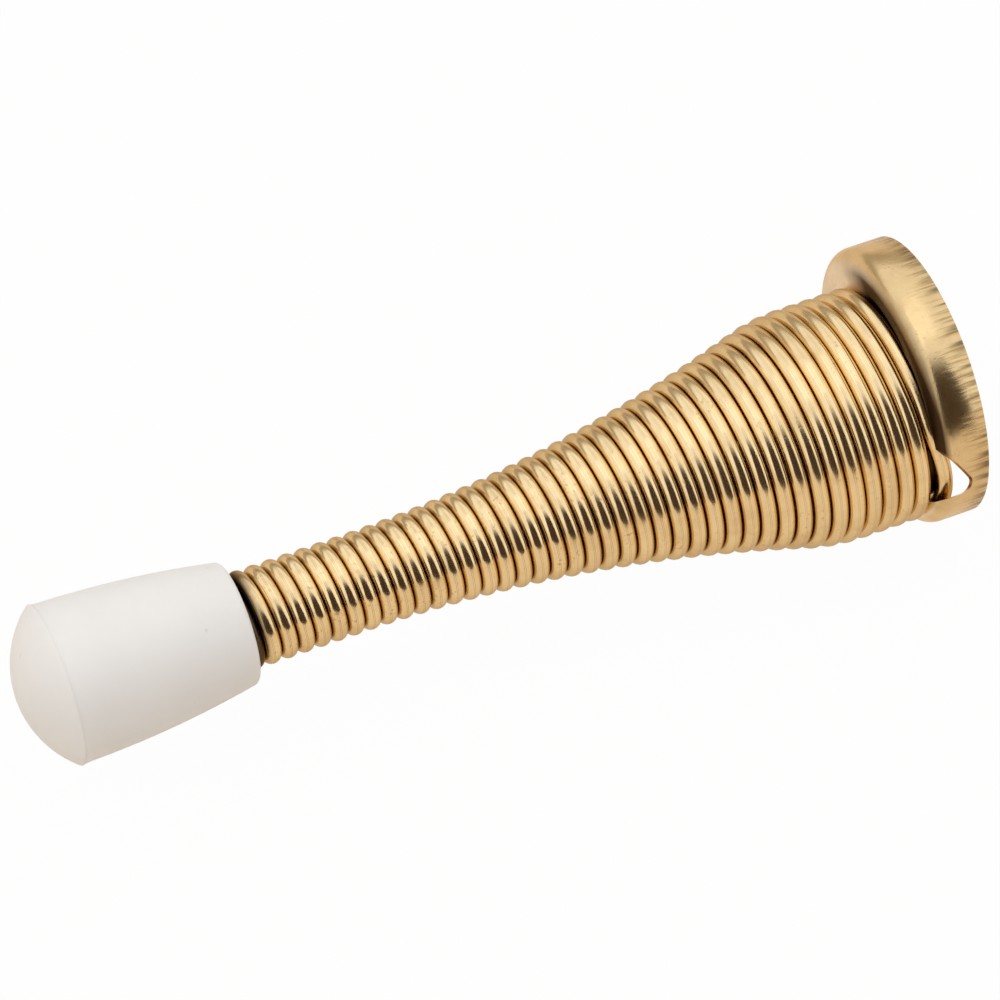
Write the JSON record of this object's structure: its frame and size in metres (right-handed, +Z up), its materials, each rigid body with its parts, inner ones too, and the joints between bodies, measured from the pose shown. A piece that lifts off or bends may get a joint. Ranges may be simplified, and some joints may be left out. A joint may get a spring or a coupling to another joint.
{
  "type": "spring door stop",
  "caption": "Wall-mounted door stop: a drawn cup base, a close-wound spring that flares towards the base, and a push-on rubber tip that the door meets.",
  "frame": {"origin": "centre of the cup's rim, on the wall plane", "axes": "+X into the wall along the cup's axis, with the tip along -X, +Z up, as the stop is used on a wall"},
  "size_m": [0.0794, 0.0234, 0.0234],
  "materials": {
    "plated_cup": "polished plating on drawn sheet",
    "plated_wire": "polished plating on drawn wire",
    "white_rubber": "smooth moulded"
  },
  "bodies": {
    "root": {"base_cup": "plated_cup", "coil_spring": "plated_wire", "bumper_tip": "white_rubber"}
  },
  "joints": []
}
